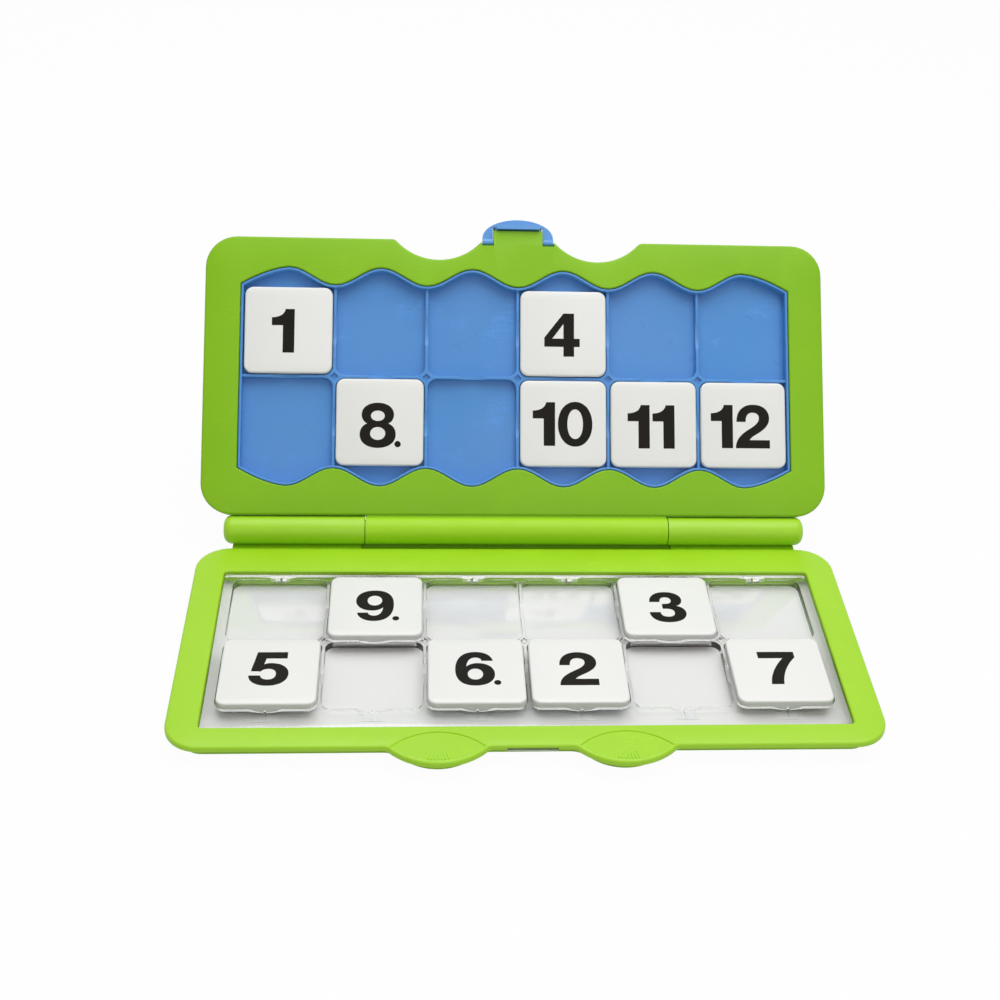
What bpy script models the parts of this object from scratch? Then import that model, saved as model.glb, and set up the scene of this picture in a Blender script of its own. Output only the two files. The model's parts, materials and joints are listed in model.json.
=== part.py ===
"""Hinged tile case, lying open: a base and a lid with twelve pockets each, and twelve loose number tiles.

Metres, +Z up, +X to the right, the user sits at -Y. The base is modelled around the middle of its grid, on
the table. The lid is modelled in its own frame: X along the hinge axis, Y away from the axis, Z out of the
lid's inner face. At the end everything is moved so that the origin is under the middle of the part.
"""

import math

import bmesh
import bpy

MM = 0.001

# Main sizes
CASE_WIDTH = 260.0 * MM
OPEN_ANGLE = math.radians(51.2)

# Tile grid
COLUMNS = 6
RIB_WIDTH = 1.3 * MM
RIB_ROUND = 0.35 * MM
POCKET_CORNER = 3.8 * MM
PIT_HALF = 1.7 * MM
PIT_DEPTH = 1.0 * MM
DIP_WIDTH = 12.0 * MM
DIP_DEPTH = 1.2 * MM

# Tiles
TILE_PLAY = 0.35 * MM
TILE_THICK = 4.6 * MM
TILE_ROUND = 0.8 * MM
TILE_FOOT_ROUND = 0.3 * MM
TILE_STACK_CLEAR = 0.5 * MM

# Clearances
SEAT_GAP = 0.3 * MM
CLOSE_GAP = 0.3 * MM
TURN_GAP = 0.4 * MM
JOIN_STEP = 0.05 * MM

# Smoothness of round surfaces
CASE_CORNER_STEPS = 10
SMALL_CORNER_STEPS = 6
TAB_STEPS = 18
TAB_FILLET_STEPS = 4
EDGE_STEPS = 3
DIP_STEPS = 8
LATCH_STEPS = 20
LATCH_LEG_STEPS = 8
NOSE_STEPS = 6
BARREL_SIDES = 32
PIN_SIDES = 16
STUD_SIDES = 12
SMOOTH_ANGLE = math.radians(35.0)

# Base frame
BASE_HEIGHT = 9.0 * MM
SIDE_SHELF = 3.6 * MM
FRONT_SHELF = 10.4 * MM
BACK_SHELF = 3.1 * MM
SIDE_BORDER = 11.8 * MM
FRONT_BORDER = 10.2 * MM
BACK_BORDER = 15.7 * MM
CASE_CORNER = 13.0 * MM
OPENING_CORNER = 1.5 * MM
BASE_RIM = 2.6 * MM
BASE_UNDERCUT = 6.2 * MM
EDGE_ROUND = 1.0 * MM
FINE_ROUND = 0.4 * MM

# Thumb tabs on the base and the scallops over them in the lid
TAB_OFFSET = 33.5 * MM
TAB_RADIUS = 24.0 * MM
TAB_REACH = 8.5 * MM
TAB_FILLET = 3.0 * MM
TAB_MARGIN = 0.2 * MM
TAB_DISH = 0.4 * MM
GRIP_RIBS = 7
GRIP_LENGTH = 3.4 * MM
GRIP_WIDTH = 0.5 * MM
GRIP_HEIGHT = 0.25 * MM
GRIP_FORWARD = 4.8 * MM
GRIP_FAN_RADIUS = 18.0 * MM
GRIP_FAN_STEP = math.radians(4.0)

# Clear base tray
BASE_FLOOR_DEPTH = 4.4 * MM
BASE_FLOOR = 1.6 * MM
BASE_RIB_HEIGHT = 2.9 * MM
TRAY_LEDGE = 2.0 * MM
SCOOP_DEPTH = 2.1 * MM
SCOOP_END_DEPTH = 0.2 * MM
SCOOP_FRONT = 6.4 * MM
SCOOP_BACK = 2.1 * MM
SCOOP_RIB_WIDTH = 0.8 * MM
SCOOP_RIB_START = 0.6 * MM

# Catch on the clear tray, under the middle of the front rim
CATCH_WIDTH = 18.0 * MM
CATCH_THICK = 1.5 * MM
CATCH_DROP = 0.4 * MM
CATCH_SETBACK = 0.2 * MM
CATCH_STEM = 2.0 * MM

# Hinge
BARREL_RADIUS = 5.9 * MM
BARREL_GAP = 0.7 * MM
MIDDLE_BARREL = 125.2 * MM
OUTER_BARREL_INSET = 9.7 * MM
BARREL_END_ROUND = 3.4 * MM
SPIGOT_RADIUS = 4.2 * MM
SPIGOT_LENGTH = 1.2 * MM
PIN_RADIUS = 1.5 * MM
PIN_LENGTH = 44.0 * MM
KNUCKLE_FOOT = 3.0 * MM
KNUCKLE_INSET = 1.5 * MM
KNUCKLE_END_INSET = 3.6 * MM
KNUCKLE_SINK = 0.5 * MM

# Lid
LID_FACE_UP = 4.0 * MM
LID_SETBACK = 0.4 * MM
LID_FACE = 2.0 * MM
LID_WALL = 2.0 * MM
LID_BACK = 1.6 * MM

# Blue lid tray
LID_FLOOR = 1.2 * MM
LID_RIB_HEIGHT = 3.5 * MM
WAVE_SIDE = 0.9 * MM
WAVE_LOW = 0.3 * MM
WAVE_HEIGHT = 7.4 * MM
WAVE_END_POWER = 1.6
WAVE_STEPS = 14
WAVE_END_STEPS = 6
TRAY_RIM_DROP = 0.5 * MM
TRAY_RIM = 1.0 * MM
RIM_ROUND = 0.3 * MM
TRAY_FLANGE = 3.0 * MM
TRAY_FLANGE_THICK = 1.2 * MM

# Latch, measured from its pivot
LATCH_WIDTH = 30.0 * MM
LATCH_LEG = 4.4 * MM
LATCH_LEG_ROUND = 1.5 * MM
LATCH_LENGTH = 10.0 * MM
LATCH_SHOULDER = 2.1 * MM
LATCH_PLATE = 2.2 * MM
LATCH_BAR = 2.0 * MM
LATCH_BAR_RISE = 3.2 * MM
LATCH_SLOT = 1.0 * MM
LATCH_SLOT_DEPTH = 1.6 * MM
LATCH_PIVOT_BACK = 0.4 * MM
LATCH_PLATE_GAP = 0.5 * MM
LATCH_HOOK_GAP = 0.2 * MM
LATCH_FACE_DROP = 0.1 * MM
STUD_RADIUS = 0.9 * MM
STUD_LENGTH = 2.6 * MM
LUG_DEPTH = 6.0 * MM
LUG_MARGIN = 0.8 * MM
LUG_LIP = 1.0 * MM

# How the twelve tiles lie: number, (column, row), rows counted away from the hinge
BASE_TILES = {9: (1, 0), 3: (4, 0), 5: (0, 1), 6: (2, 1), 2: (3, 1), 7: (5, 1)}
LID_TILES = {8: (1, 0), 10: (3, 0), 11: (4, 0), 12: (5, 0), 1: (0, 1), 4: (3, 1)}

# Sizes worked out from those above
PITCH = (CASE_WIDTH - 2 * (SIDE_SHELF + SIDE_BORDER)) / COLUMNS
GRID_X = COLUMNS * PITCH / 2
OPENING_X = GRID_X + SIDE_SHELF
OPENING_FRONT = -PITCH - FRONT_SHELF
OPENING_BACK = PITCH + BACK_SHELF
CASE_X = CASE_WIDTH / 2
CASE_FRONT = OPENING_FRONT - FRONT_BORDER
CASE_BACK = OPENING_BACK + BACK_BORDER
BASE_FLOOR_TOP = BASE_HEIGHT - BASE_FLOOR_DEPTH
RIM_BOTTOM = BASE_HEIGHT - BASE_RIM
CATCH_BOTTOM = RIM_BOTTOM - CATCH_DROP

HINGE_Y = CASE_BACK + BARREL_GAP + BARREL_RADIUS
HINGE_Z = BASE_HEIGHT + CLOSE_GAP + LID_FACE_UP
BORE_RADIUS = PIN_RADIUS + SEAT_GAP
BORE_DEPTH = PIN_LENGTH / 2 + SEAT_GAP
OUTER_START = MIDDLE_BARREL / 2 + TURN_GAP
OUTER_BARREL = CASE_X - OUTER_BARREL_INSET - OUTER_START

LID_ROW = HINGE_Y
LID_NEAR = BARREL_RADIUS
LID_FAR = LID_ROW - CASE_FRONT - LID_SETBACK
LID_FLOOR_DEPTH = 2 * (TILE_THICK + SEAT_GAP) + TILE_STACK_CLEAR - BASE_FLOOR_DEPTH - CLOSE_GAP
LID_FLOOR_TOP = LID_FACE_UP - LID_FLOOR_DEPTH
LID_FLOOR_BOTTOM = LID_FLOOR_TOP - LID_FLOOR
LID_BACK_TOP = LID_FLOOR_BOTTOM - SEAT_GAP

PIVOT_Y = LID_FAR - LATCH_PIVOT_BACK
PIVOT_Z = LID_FACE_UP - LATCH_LEG_ROUND - LATCH_FACE_DROP
LATCH_PLATE_TOP = -(LID_ROW - CASE_FRONT + LATCH_PLATE_GAP - PIVOT_Y)
LATCH_REACH = HINGE_Z - PIVOT_Z - CATCH_BOTTOM + LATCH_HOOK_GAP
LATCH_LEG_INNER = LATCH_WIDTH / 2 - LATCH_LEG

BASE_GREEN = (0.38, 0.72, 0.02)
LID_GREEN = (0.27, 0.56, 0.012)
BLUE = (0.09, 0.30, 0.69)
CLEAR = (0.86, 0.89, 0.88)
WHITE = (0.87, 0.86, 0.83)
STEEL = (0.55, 0.55, 0.56)


def clear_scene():
    for item in list(bpy.data.objects):
        bpy.data.objects.remove(item, do_unlink=True)


def make_material(name, colour, roughness, metallic=0.0, alpha=1.0):
    material = bpy.data.materials.new(name)
    material.use_nodes = True
    shader = material.node_tree.nodes["Principled BSDF"]
    shader.inputs["Base Color"].default_value = (*colour, 1.0)
    shader.inputs["Roughness"].default_value = roughness
    shader.inputs["Metallic"].default_value = metallic
    shader.inputs["Alpha"].default_value = alpha
    return material


# Outlines: lists of (x, y), counter-clockwise

def arc(centre_x, centre_y, radius, start, end, steps):
    points = []
    for i in range(steps + 1):
        angle = start + (end - start) * i / steps
        points.append((centre_x + radius * math.cos(angle), centre_y + radius * math.sin(angle)))
    return points


def rounded_box(x0, x1, y0, y1, radius):
    quarter = math.pi / 2
    corners = [
        (x1 - radius, y1 - radius, 0.0),
        (x0 + radius, y1 - radius, quarter),
        (x0 + radius, y0 + radius, 2 * quarter),
        (x1 - radius, y0 + radius, 3 * quarter),
    ]
    points = []
    for x, y, start in corners:
        points += arc(x, y, radius, start, start + quarter, SMALL_CORNER_STEPS)
    return points


def bulge(centre_x, edge_y):
    """A round bulge toward -y in an edge along x, with a fillet at each end, from low x to high x."""
    rise = TAB_RADIUS - TAB_REACH
    centre_y = edge_y + rise
    half = math.sqrt((TAB_RADIUS + TAB_FILLET) ** 2 - (rise + TAB_FILLET) ** 2)
    turn = math.atan2(half, rise + TAB_FILLET)
    up = math.pi / 2
    left = arc(centre_x - half, edge_y - TAB_FILLET, TAB_FILLET, up, up - turn, TAB_FILLET_STEPS)
    round_part = arc(centre_x, centre_y, TAB_RADIUS, -up - turn, -up + turn, TAB_STEPS)
    right = arc(centre_x + half, edge_y - TAB_FILLET, TAB_FILLET, up + turn, up, TAB_FILLET_STEPS)
    return left + round_part[1:-1] + right


def case_outline(near_y, far_y, tabs_at_near):
    """The case's rounded rectangle, with two bulges toward -y in the edge that the thumb opens."""
    half = CASE_X
    corner = CASE_CORNER
    quarter = math.pi / 2
    bulge_y = near_y if tabs_at_near else far_y
    bulges = bulge(-TAB_OFFSET, bulge_y) + bulge(TAB_OFFSET, bulge_y)
    steps = CASE_CORNER_STEPS
    points = arc(-half + corner, near_y + corner, corner, 2 * quarter, 3 * quarter, steps)
    if tabs_at_near:
        points += bulges
    points += arc(half - corner, near_y + corner, corner, 3 * quarter, 4 * quarter, steps)
    points += arc(half - corner, far_y - corner, corner, 0.0, quarter, steps)
    if not tabs_at_near:
        points += bulges[::-1]
    points += arc(-half + corner, far_y - corner, corner, quarter, 2 * quarter, steps)
    return points


def lens_outline(centre_x, edge_y, margin):
    """Two arcs back to back over the edge: the dished top of a thumb tab."""
    radius = TAB_RADIUS - margin
    rise = TAB_RADIUS - TAB_REACH
    turn = math.acos(rise / radius)
    up = math.pi / 2
    low = arc(centre_x, edge_y + rise, radius, -up - turn, -up + turn, TAB_STEPS)
    high = arc(centre_x, edge_y - rise, radius, up - turn, up + turn, TAB_STEPS)
    return low[:-1] + high[:-1]


def wave_height(x):
    """Half height of the lid tray's wavy outline at x: a crest over each column, a trough at each rib."""
    low = PITCH + WAVE_LOW
    last_crest = GRID_X - PITCH / 2
    if abs(x) > last_crest:
        share = (abs(x) - last_crest) / (GRID_X + WAVE_SIDE - last_crest)
        return low + WAVE_HEIGHT * (1 - share ** WAVE_END_POWER)
    swing = math.cos(2 * math.pi * (x - last_crest) / PITCH)
    return low + WAVE_HEIGHT * (0.5 + 0.5 * swing)


def wave_outline():
    side = GRID_X + WAVE_SIDE
    last_crest = GRID_X - PITCH / 2
    count = (COLUMNS - 1) * WAVE_STEPS
    stops = [last_crest * (2 * i / count - 1) for i in range(count + 1)]
    end_step = (side - last_crest) / WAVE_END_STEPS
    ends = [last_crest + end_step * i for i in range(1, WAVE_END_STEPS + 1)]
    xs = [-x for x in reversed(ends)] + stops + ends
    near = [(x, LID_ROW - wave_height(x)) for x in xs]
    far = [(x, LID_ROW + wave_height(x)) for x in reversed(xs)]
    return near + far


def fishbone_outline(row_y, end_y, end_x):
    """The lid's ribs: one row rib to +-end_x, crossed by column ribs that reach end_y either side of it."""
    half = RIB_WIDTH / 2
    radius = POCKET_CORNER
    quarter = math.pi / 2
    steps = SMALL_CORNER_STEPS
    columns = [(i - COLUMNS / 2) * PITCH for i in range(1, COLUMNS)]
    near = []
    for x in columns:
        near += arc(x - half - radius, row_y - half - radius, radius, quarter, 0.0, steps)
        near += [(x - half, row_y - end_y), (x + half, row_y - end_y)]
        near += arc(x + half + radius, row_y - half - radius, radius, 2 * quarter, quarter, steps)
    far = [(-x, 2 * row_y - y) for x, y in near]
    right_end = [(end_x, row_y - half), (end_x, row_y + half)]
    left_end = [(-end_x, row_y + half), (-end_x, row_y - half)]
    return near + right_end + far + left_end


def pit_outline(x, y):
    """A small diamond where two ribs cross."""
    return [(x + PIT_HALF, y), (x, y + PIT_HALF), (x - PIT_HALF, y), (x, y - PIT_HALF)]


def shifted(points, distance):
    """The outline moved inward by a distance, or outward if it is negative."""
    moved = []
    for i, (x, y) in enumerate(points):
        x0, y0 = points[i - 1]
        x1, y1 = points[(i + 1) % len(points)]
        before = math.hypot(x - x0, y - y0)
        after = math.hypot(x1 - x, y1 - y)
        ax, ay = (y0 - y) / before, (x - x0) / before
        bx, by = (y - y1) / after, (x1 - x) / after
        scale = distance / (1 + ax * bx + ay * by)
        moved.append((x + (ax + bx) * scale, y + (ay + by) * scale))
    return moved


# Solids

def new_object(name, bm):
    bmesh.ops.recalc_face_normals(bm, faces=bm.faces)
    mesh = bpy.data.meshes.new(name)
    bm.to_mesh(mesh)
    bm.free()
    item = bpy.data.objects.new(name, mesh)
    bpy.context.scene.collection.objects.link(item)
    return item


def loop_of(bm, points, z):
    return [bm.verts.new((x, y, z)) for x, y in points]


def bridge(bm, upper, lower):
    for i, vert in enumerate(upper):
        bm.faces.new((upper[i - 1], vert, lower[i], lower[i - 1]))


def fill(bm, loops):
    edges = []
    for loop in loops:
        for i, vert in enumerate(loop):
            edges.append(bm.edges.get((loop[i - 1], vert)) or bm.edges.new((loop[i - 1], vert)))
    bmesh.ops.triangle_fill(bm, edges=edges, use_beauty=True)


def stacked(name, outer, holes=(), pits=()):
    """A solid from outlines carried down through levels.

    Each of outer, holes and pits is (outline, levels), and a level is (inset into the material, z), from
    the top down. Holes go right through, pits have a floor of their own.
    """
    bm = bmesh.new()
    tops, bottoms = [], []
    for (outline, levels), sign in [(outer, 1), *((h, -1) for h in holes), *((p, -1) for p in pits)]:
        loops = [loop_of(bm, shifted(outline, sign * inset), z) for inset, z in levels]
        for upper, lower in zip(loops, loops[1:]):
            bridge(bm, upper, lower)
        tops.append(loops[0])
        bottoms.append(loops[-1])
    open_bottoms = bottoms[: 1 + len(holes)]
    fill(bm, tops)
    fill(bm, open_bottoms)
    for loop in bottoms[1 + len(holes):]:
        fill(bm, [loop])
    return new_object(name, bm)


def round_levels(z, radius, down=True):
    """Levels of a rounded edge at height z, from the face down to the wall or from the wall to the face."""
    levels = []
    for i in range(EDGE_STEPS + 1):
        angle = math.pi / 2 * i / EDGE_STEPS
        inset = radius * (1 - math.sin(angle))
        depth = radius * (1 - math.cos(angle))
        levels.append((inset, z - depth if down else z + depth))
    return levels if down else levels[::-1]


def prism(name, outline, z0, z1):
    return stacked(name, (outline, [(0.0, z1), (0.0, z0)]))


def box(name, x0, x1, y0, y1, z0, z1):
    return prism(name, [(x0, y0), (x1, y0), (x1, y1), (x0, y1)], z0, z1)


def side_plate(name, profile, x0, x1):
    """A solid from an outline of (y, z), carried from x0 to x1."""
    bm = bmesh.new()
    loops = [[bm.verts.new((x, y, z)) for y, z in profile] for x in (x0, x1)]
    bridge(bm, loops[0], loops[1])
    bm.faces.new(loops[0])
    bm.faces.new(loops[1])
    return new_object(name, bm)


def turned(name, profile, y, z, sides=BARREL_SIDES):
    """A solid turned about an axis along X at (y, z), from profile points (x, radius)."""
    bm = bmesh.new()
    loops = []
    for x, radius in profile:
        circle = arc(y, z, radius, 0.0, 2 * math.pi, sides)[:-1]
        loops.append([bm.verts.new((x, *point)) for point in circle])
    for upper, lower in zip(loops, loops[1:]):
        bridge(bm, upper, lower)
    bm.faces.new(loops[0])
    bm.faces.new(loops[-1])
    return new_object(name, bm)


def dip_profile(half_width, depth, top):
    """A round hollow below a height, closed above it: a list of (along, z)."""
    radius = (half_width ** 2 + depth ** 2) / (2 * depth)
    turn = math.asin(half_width / radius)
    below = arc(0.0, top + radius - depth, radius, -math.pi / 2 - turn, -math.pi / 2 + turn, DIP_STEPS)
    return below + [(half_width, top + depth), (-half_width, top + depth)]


def arch(name, half_width, depth, top, thick, at, along_y):
    """A cutter with a round underside, which lowers the middle of a rib at a point of its centre line."""
    bm = bmesh.new()
    sides = []
    for offset in (-thick, thick):
        loop = []
        for along, z in dip_profile(half_width, depth, top):
            x, y = (offset, along) if along_y else (along, offset)
            loop.append(bm.verts.new((at[0] + x, at[1] + y, z)))
        sides.append(loop)
    bridge(bm, sides[0], sides[1])
    bm.faces.new(sides[0])
    bm.faces.new(sides[1])
    return new_object(name, bm)


def scoop(name, x, start, end, top):
    """A cutter for a finger hollow, deepest at the pocket's edge and running out over the shelf."""
    bm = bmesh.new()
    ends = []
    for y, depth in ((start, SCOOP_DEPTH), (end, SCOOP_END_DEPTH)):
        profile = dip_profile(DIP_WIDTH / 2, depth, top)
        ends.append([bm.verts.new((x + along, y, z)) for along, z in profile])
    bridge(bm, ends[0], ends[1])
    bm.faces.new(ends[0])
    bm.faces.new(ends[1])
    return new_object(name, bm)


def merged(name, items):
    """One object from several that don't touch each other."""
    bm = bmesh.new()
    for item in items:
        item.data.transform(item.matrix_basis)
        bm.from_mesh(item.data)
        bpy.data.objects.remove(item, do_unlink=True)
    return new_object(name, bm)


def combine(item, tool, operation):
    """Joins a tool solid to an object, or cuts it away, and removes the tool."""
    modifier = item.modifiers.new("combine", "BOOLEAN")
    modifier.operation = operation
    modifier.solver = "EXACT"
    modifier.object = tool
    evaluated = item.evaluated_get(bpy.context.evaluated_depsgraph_get())
    mesh = bpy.data.meshes.new_from_object(evaluated)
    item.modifiers.remove(modifier)
    item.data = mesh
    bpy.data.objects.remove(tool, do_unlink=True)


def finish(item, material, parent=None):
    item.data.materials.clear()
    item.data.materials.append(material)
    item.data.shade_smooth()
    item.data.set_sharp_from_angle(angle=SMOOTH_ANGLE)
    item.parent = parent
    return item


def column_x(column):
    return (column - (COLUMNS - 1) / 2) * PITCH


def inner_rib_x():
    return [(i - COLUMNS / 2) * PITCH for i in range(1, COLUMNS)]


def rib_dips(row_y, top):
    """Cutters that lower the middle of every rib between two pockets."""
    half = DIP_WIDTH / 2
    cutters = []
    for x in inner_rib_x():
        for y in (row_y - PITCH / 2, row_y + PITCH / 2):
            cutters.append(arch("dip", half, DIP_DEPTH, top, RIB_WIDTH, (x, y), True))
    for column in range(COLUMNS):
        cutters.append(arch("dip", half, DIP_DEPTH, top, RIB_WIDTH, (column_x(column), row_y), False))
    return cutters


# Base

def grip_ribs(name, floor):
    """Small ribs fanned out over the outer half of both thumb tabs."""
    half = GRIP_WIDTH / 2
    reach = GRIP_FAN_RADIUS - GRIP_LENGTH
    fan_y = CASE_FRONT - GRIP_FORWARD + reach + GRIP_LENGTH / 2
    ribs = []
    for side in (-1, 1):
        for i in range(GRIP_RIBS):
            angle = (i - (GRIP_RIBS - 1) / 2) * GRIP_FAN_STEP
            rib = box("rib", -half, half, -GRIP_LENGTH, 0.0, floor - GRIP_HEIGHT, floor + GRIP_HEIGHT)
            rib.rotation_euler.z = angle
            rib.location.x = side * TAB_OFFSET + reach * math.sin(angle)
            rib.location.y = fan_y - reach * math.cos(angle)
            ribs.append(rib)
    return merged(name, ribs)


def base_opening():
    return rounded_box(-OPENING_X, OPENING_X, OPENING_FRONT, OPENING_BACK, OPENING_CORNER)


def make_base_frame(material):
    outline = case_outline(CASE_FRONT, CASE_BACK, True)
    outer_levels = round_levels(BASE_HEIGHT, EDGE_ROUND) + [
        (0.0, RIM_BOTTOM + FINE_ROUND),
        (FINE_ROUND, RIM_BOTTOM),
        (BASE_UNDERCUT, RIM_BOTTOM),
        (BASE_UNDERCUT, 0.0),
    ]
    ledge = BASE_FLOOR_TOP + SEAT_GAP
    step = TRAY_LEDGE + SEAT_GAP
    opening_levels = [
        (FINE_ROUND, BASE_HEIGHT),
        (0.0, BASE_HEIGHT - FINE_ROUND),
        (0.0, ledge),
        (step, ledge),
        (step, 0.0),
    ]
    dish_floor = BASE_HEIGHT - TAB_DISH
    dishes = []
    for side in (-1, 1):
        lens = lens_outline(side * TAB_OFFSET, CASE_FRONT, EDGE_ROUND + TAB_MARGIN)
        dishes.append((lens, [(0.0, BASE_HEIGHT), (-TAB_DISH / 2, dish_floor)]))
    frame = stacked("base_frame", (outline, outer_levels), [(base_opening(), opening_levels)], dishes)
    combine(frame, grip_ribs("grip_ribs", dish_floor), "UNION")

    outer_end = OUTER_START + OUTER_BARREL
    web_front = CASE_BACK - BASE_UNDERCUT - EDGE_ROUND
    web_back = HINGE_Y + KNUCKLE_FOOT
    web_top = HINGE_Z - BARREL_RADIUS + KNUCKLE_SINK
    inner_x = OUTER_START + KNUCKLE_INSET
    outer_x = outer_end - KNUCKLE_END_INSET
    webs = []
    for low, high in ((-outer_x, -inner_x), (inner_x, outer_x)):
        webs.append(box("web", low, high, web_front, web_back, 0.0, web_top))
    combine(frame, merged("webs", webs), "UNION")
    trough_x = inner_x + KNUCKLE_INSET
    trough_top = HINGE_Z - BARREL_RADIUS - BARREL_GAP
    trough = box("trough", -trough_x, trough_x, web_front, web_back - SEAT_GAP, 0.0, trough_top)
    combine(frame, trough, "UNION")

    end_x = outer_end - BARREL_END_ROUND
    end_radius = BARREL_RADIUS - BARREL_END_ROUND
    socket_floor = OUTER_START + SPIGOT_LENGTH
    socket_radius = SPIGOT_RADIUS + SEAT_GAP
    bore = [(OUTER_START + BORE_DEPTH, BORE_RADIUS), (socket_floor, BORE_RADIUS)]
    socket = [(socket_floor, socket_radius), (OUTER_START, socket_radius)]
    round_end = arc(end_x, end_radius, BARREL_END_ROUND, math.pi / 2, 0.0, SMALL_CORNER_STEPS)
    profile = bore + socket + [(OUTER_START, BARREL_RADIUS)] + round_end
    for side in (-1, 1):
        barrel = turned("barrel", [(side * x, radius) for x, radius in profile], HINGE_Y, HINGE_Z)
        combine(frame, barrel, "UNION")

    slot = CATCH_WIDTH / 2 + SEAT_GAP
    slot_back = OPENING_FRONT - TRAY_LEDGE + SEAT_GAP
    slot_top = CATCH_BOTTOM + CATCH_THICK + SEAT_GAP
    slot_bottom = BASE_FLOOR_TOP - BASE_FLOOR - SEAT_GAP
    window = box("window", -slot, slot, CASE_FRONT - EDGE_ROUND, slot_back, slot_bottom, slot_top)
    combine(frame, window, "DIFFERENCE")
    return finish(frame, material)


def make_base_tray(material):
    floor_bottom = BASE_FLOOR_TOP - BASE_FLOOR
    tray = prism("base_tray", shifted(base_opening(), -TRAY_LEDGE), floor_bottom, BASE_FLOOR_TOP)

    rib_top = BASE_FLOOR_TOP + BASE_RIB_HEIGHT
    sunk = BASE_FLOOR_TOP - BASE_FLOOR / 2
    reach = PITCH / 2 - RIB_WIDTH / 2
    levels = round_levels(rib_top, RIB_ROUND) + [(0.0, sunk)]
    pockets = []
    for column in range(COLUMNS):
        for row_y in (-PITCH / 2, PITCH / 2):
            x = column_x(column)
            pocket = rounded_box(x - reach, x + reach, row_y - reach, row_y + reach, POCKET_CORNER)
            pockets.append((pocket, levels))
    pits = [(pit_outline(x, 0.0), [(0.0, rib_top), (0.0, rib_top - PIT_DEPTH)]) for x in inner_rib_x()]
    shelf = stacked("shelf", (shifted(base_opening(), SEAT_GAP), levels), pockets, pits)
    combine(tray, shelf, "UNION")

    catch_half = CATCH_WIDTH / 2
    catch_front = CASE_FRONT + CATCH_SETBACK
    plate_front = OPENING_FRONT - TRAY_LEDGE
    tongue_top = CATCH_BOTTOM + CATCH_THICK
    root_bottom = floor_bottom + SEAT_GAP
    root_top = BASE_FLOOR_TOP - SEAT_GAP
    profile = [
        (plate_front + CATCH_STEM, root_bottom),
        (plate_front + CATCH_STEM, root_top),
        (plate_front, root_top),
        (plate_front, tongue_top),
        (catch_front, tongue_top),
        (catch_front, CATCH_BOTTOM),
        (plate_front - CATCH_STEM, CATCH_BOTTOM),
        (plate_front - CATCH_STEM, root_bottom),
    ]
    combine(tray, side_plate("catch", profile, -catch_half, catch_half), "UNION")

    hollows = rib_dips(0.0, rib_top)
    fingers = []
    finger_half = SCOOP_RIB_WIDTH / 2
    edge = PITCH - RIB_WIDTH / 2
    for column in range(COLUMNS):
        x = column_x(column)
        for side, length in ((-1, SCOOP_FRONT), (1, SCOOP_BACK)):
            end = side * (PITCH + length)
            hollows.append(scoop("scoop", x, side * (edge - RIB_WIDTH), end, rib_top))
            low, high = sorted((side * (edge + SCOOP_RIB_START), end + side * SEAT_GAP))
            left, right = x - finger_half, x + finger_half
            fingers.append(box("finger", left, right, low, high, sunk, rib_top - SEAT_GAP))
    cutter = merged("hollows", hollows)
    combine(cutter, merged("fingers", fingers), "DIFFERENCE")
    combine(tray, cutter, "DIFFERENCE")
    return finish(tray, material)


def make_hinge_pins(material):
    for name, side in (("hinge_pin_left", -1), ("hinge_pin_right", 1)):
        middle = side * (OUTER_START - TURN_GAP / 2)
        half = PIN_LENGTH / 2
        profile = [(middle - half, PIN_RADIUS), (middle + half, PIN_RADIUS)]
        finish(turned(name, profile, HINGE_Y, HINGE_Z, PIN_SIDES), material)


# Lid

def make_lid_frame(material, pivot):
    outline = case_outline(LID_NEAR, LID_FAR, False)
    face_under = LID_FACE_UP - LID_FACE
    wall_end = LID_BACK_TOP + SEAT_GAP
    outer_levels = round_levels(LID_FACE_UP, EDGE_ROUND) + [
        (0.0, wall_end),
        (LID_WALL, wall_end),
        (LID_WALL, face_under),
    ]
    opening_levels = [(FINE_ROUND, LID_FACE_UP), (0.0, LID_FACE_UP - FINE_ROUND), (0.0, face_under)]
    frame = stacked("lid_frame", (outline, outer_levels), [(wave_outline(), opening_levels)])

    groove_start = MIDDLE_BARREL / 2 + TURN_GAP / 2
    groove_end = groove_start + OUTER_BARREL + 2 * TURN_GAP
    groove_radius = BARREL_RADIUS + TURN_GAP
    grooves = []
    for side in (-1, 1):
        ends = [(side * groove_start, groove_radius), (side * groove_end, groove_radius)]
        grooves.append(turned("groove", ends, 0.0, 0.0))
    combine(frame, merged("grooves", grooves), "DIFFERENCE")

    web_x = MIDDLE_BARREL / 2 - TURN_GAP
    web_near = BORE_RADIUS + SEAT_GAP
    web_top = LID_FACE_UP - EDGE_ROUND
    web = box("web", -web_x, web_x, web_near, LID_NEAR + LID_WALL, wall_end + SEAT_GAP, web_top)
    combine(frame, web, "UNION")
    end = MIDDLE_BARREL / 2
    spigot_end = end + SPIGOT_LENGTH
    bore = [(end - BORE_DEPTH, BORE_RADIUS), (spigot_end, BORE_RADIUS)]
    spigot = [(spigot_end, SPIGOT_RADIUS), (end, SPIGOT_RADIUS)]
    half_profile = bore + spigot + [(end, BARREL_RADIUS)]
    profile = half_profile + [(-x, r) for x, r in reversed(half_profile)]
    combine(frame, turned("barrel", profile, 0.0, 0.0), "UNION")
    add_latch_lug(frame, wall_end)
    return finish(frame, material, pivot)


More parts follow.
